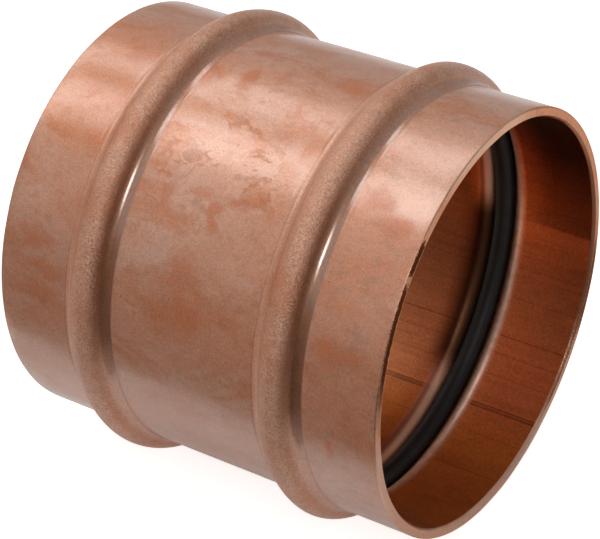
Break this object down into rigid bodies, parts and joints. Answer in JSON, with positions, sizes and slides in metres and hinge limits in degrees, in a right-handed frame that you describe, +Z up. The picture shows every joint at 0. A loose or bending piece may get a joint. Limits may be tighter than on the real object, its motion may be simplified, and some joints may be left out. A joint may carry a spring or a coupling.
{
  "type": "press coupling",
  "caption": "Straight copper press coupling for large tube: an open-ended tube with rolled beads that hold rubber O-rings in grooves inside.",
  "frame": {"origin": "middle of the coupling, on the axis of its bore", "axes": "+X along the bore, towards the end with o_ring_right; +Z up when the coupling lies on its two beads; +Y completes the right-handed frame"},
  "size_m": [0.1106, 0.1188, 0.1188],
  "materials": {
    "copper": "drawn copper with a dull handling tarnish, polished by the tool beside each bead",
    "seal_rubber": "black satin moulded EPDM"
  },
  "bodies": {
    "root": {"coupling_body": "copper", "o_ring_left": "seal_rubber", "o_ring_right": "seal_rubber"}
  },
  "joints": []
}
